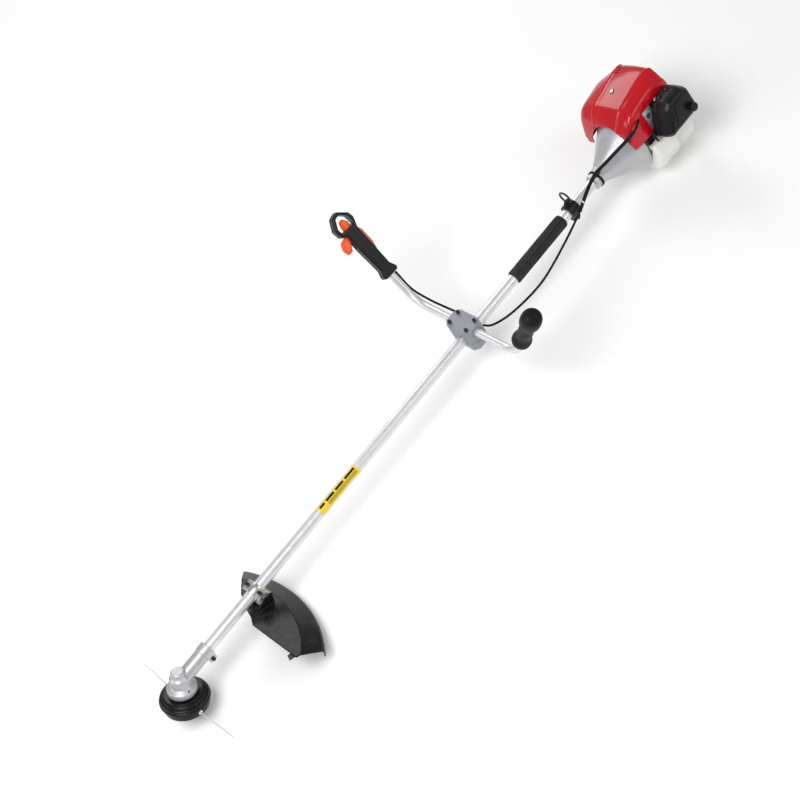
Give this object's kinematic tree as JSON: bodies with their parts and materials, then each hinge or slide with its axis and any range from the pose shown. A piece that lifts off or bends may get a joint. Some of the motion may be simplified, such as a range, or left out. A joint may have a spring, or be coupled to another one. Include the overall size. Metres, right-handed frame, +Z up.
{
  "type": "brush cutter",
  "caption": "Straight-shaft brush cutter: line trimmer head and guard, long tube, bullhorn handlebar with throttle grip, foam sleeve, harness ring and small petrol engine.",
  "frame": {"origin": "where the cutting spindle's axis crosses the main tube's axis, inside the gear case", "axes": "+X along the main tube from the cutting head to the engine; +Y to the operator's right, the side of the throttle grip; +Z up"},
  "size_m": [1.9347, 0.6869, 0.3942],
  "materials": {
    "tube_silver": "satin",
    "cast_silver": "cast, blasted",
    "clamp_grey": "cast, painted grey",
    "steel": "ground",
    "black_oxide": "black oxide",
    "zinc": "zinc plated",
    "black_gloss": "moulded gloss",
    "black_matte": "moulded matte",
    "orange": "moulded",
    "red": "painted gloss",
    "tank_white": "translucent",
    "rubber": "moulded",
    "foam": "foam",
    "nylon": "extruded",
    "iron": "cast",
    "paper": "pleated"
  },
  "bodies": {
    "frame": {"gearcase": "cast_silver", "ball_bearings": "steel", "guard_shell": "black_gloss", "guard_bracket": "zinc", "clamp_screws": "black_oxide", "line_cutter": "steel", "main_tube": "tube_silver", "shaft_bushes": "black_matte", "clamp_cap": "clamp_grey", "clamp_saddle": "clamp_grey", "clamp_base": "clamp_grey", "handlebar": "tube_silver", "left_grip": "rubber", "throttle_shell_outer": "black_matte", "throttle_shell_inner": "black_matte", "throttle_cable": "rubber", "foam_grip": "foam", "harness_clamp": "black_matte", "clutch_housing": "cast_silver", "neck_band": "rubber", "crankcase": "cast_silver", "cylinder": "cast_silver", "piston": "cast_silver", "spark_plug": "rubber", "top_cover": "red", "cover_screws": "zinc", "air_cleaner_case": "black_matte", "air_cleaner_cover": "black_matte", "air_filter": "paper", "carburettor": "cast_silver", "muffler": "steel", "fuel_tank": "tank_white", "recoil_cover": "black_matte"},
    "head": {"output_shaft": "steel", "bevel_gear": "steel", "head_housing": "black_gloss", "head_base": "black_gloss", "line_eyelets": "zinc", "nylon_line": "nylon", "spool_spring": "steel"},
    "spool": {"spool": "orange", "bump_knob": "black_matte"},
    "drive_line": {"drive_shaft": "steel", "bevel_pinion": "steel", "clutch_drum": "steel"},
    "crank": {"crankshaft": "steel", "flywheel": "cast_silver", "clutch_shoes": "iron"},
    "recoil_pulley": {"recoil_pulley": "black_matte"},
    "recoil_handle": {"recoil_handle": "black_matte"},
    "trigger": {"throttle_trigger": "orange"},
    "lock_lever": {"lock_lever": "orange"},
    "stop_switch": {"stop_switch": "orange"},
    "throttle_lever": {"throttle_lever": "zinc"},
    "choke_lever": {"choke_lever": "black_matte"},
    "primer_bulb": {"primer_bulb": "rubber"},
    "fuel_cap": {"fuel_cap": "black_matte"},
    "oil_cap": {"oil_cap": "black_matte"},
    "air_cleaner_knob": {"air_cleaner_knob": "black_matte"},
    "harness_ring": {"harness_ring": "black_oxide"}
  },
  "joints": [
    {"name": "head_spin", "type": "hinge", "parent": "frame", "child": "head", "pos_m": [0, 0, 0], "axis": [0.3746, 0, 0.9272], "continuous": true},
    {"name": "knob_tap", "type": "slide", "parent": "head", "child": "spool", "axis": [0.3746, 0, 0.9272], "range_m": [0, 0.005], "stiffness_N_per_m": 800, "deforming": ["spool_spring"]},
    {"name": "drive_spin", "type": "hinge", "parent": "frame", "child": "drive_line", "pos_m": [0, 0, 0], "axis": [1, 0, 0], "continuous": true},
    {"name": "crank_spin", "type": "hinge", "parent": "frame", "child": "crank", "pos_m": [1.7, 0, 0], "axis": [1, 0, 0], "continuous": true},
    {"name": "pulley_spin", "type": "hinge", "parent": "frame", "child": "recoil_pulley", "pos_m": [1.8, 0, 0], "axis": [1, 0, 0], "range_deg": [0, 1080]},
    {"name": "handle_pull", "type": "slide", "parent": "frame", "child": "recoil_handle", "axis": [0, 0.9659, -0.2588], "range_m": [0, 0.56]},
    {"name": "trigger_squeeze", "type": "hinge", "parent": "frame", "child": "trigger", "pos_m": [1.06434, 0.30269, 0.22138], "axis": [0.0313, -0.8281, 0.5598], "range_deg": [0, 16]},
    {"name": "throttle_turn", "type": "hinge", "parent": "frame", "child": "throttle_lever", "pos_m": [1.747, -0.04227, 0.09415], "axis": [0, 0.2588, 0.9659], "range_deg": [0, 56]},
    {"name": "lock_press", "type": "hinge", "parent": "frame", "child": "lock_lever", "pos_m": [1.09729, 0.30269, 0.21954], "axis": [-0.0313, 0.8281, -0.5598], "range_deg": [0, 4]},
    {"name": "switch_rock", "type": "hinge", "parent": "frame", "child": "stop_switch", "pos_m": [1.08237, 0.30942, 0.23033], "axis": [0.0313, -0.8281, 0.5598], "range_deg": [0, 8]},
    {"name": "choke_turn", "type": "hinge", "parent": "frame", "child": "choke_lever", "pos_m": [1.725, -0.09005, 0.05415], "axis": [-1, 0, 0], "range_deg": [0, 60]},
    {"name": "bulb_press", "type": "slide", "parent": "frame", "child": "primer_bulb", "axis": [0, 0.2588, 0.9659], "range_m": [0, 0.004], "stiffness_N_per_m": 400},
    {"name": "fuel_cap_turn", "type": "hinge", "parent": "frame", "child": "fuel_cap", "pos_m": [1.842, -0.02816, -0.06648], "axis": [1, 0, 0], "continuous": true},
    {"name": "oil_cap_turn", "type": "hinge", "parent": "frame", "child": "oil_cap", "pos_m": [1.77, 0.03629, -0.03457], "axis": [0, 0.9659, -0.2588], "continuous": true},
    {"name": "cleaner_knob_turn", "type": "hinge", "parent": "frame", "child": "air_cleaner_knob", "pos_m": [1.823, -0.13842, 0.06297], "axis": [0, -0.9659, 0.2588], "continuous": true},
    {"name": "ring_swing", "type": "hinge", "parent": "frame", "child": "harness_ring", "pos_m": [1.476, 0, 0.028], "axis": [0, 1, 0], "range_deg": [-70, 70]}
  ],
  "couplings": [
    {"joint": "drive_spin", "follows": "head_spin", "ratio": 1.3571},
    {"joint": "handle_pull", "follows": "pulley_spin", "m_per_rad": 0.029},
    {"joint": "throttle_turn", "follows": "trigger_squeeze", "ratio": 3.5}
  ]
}
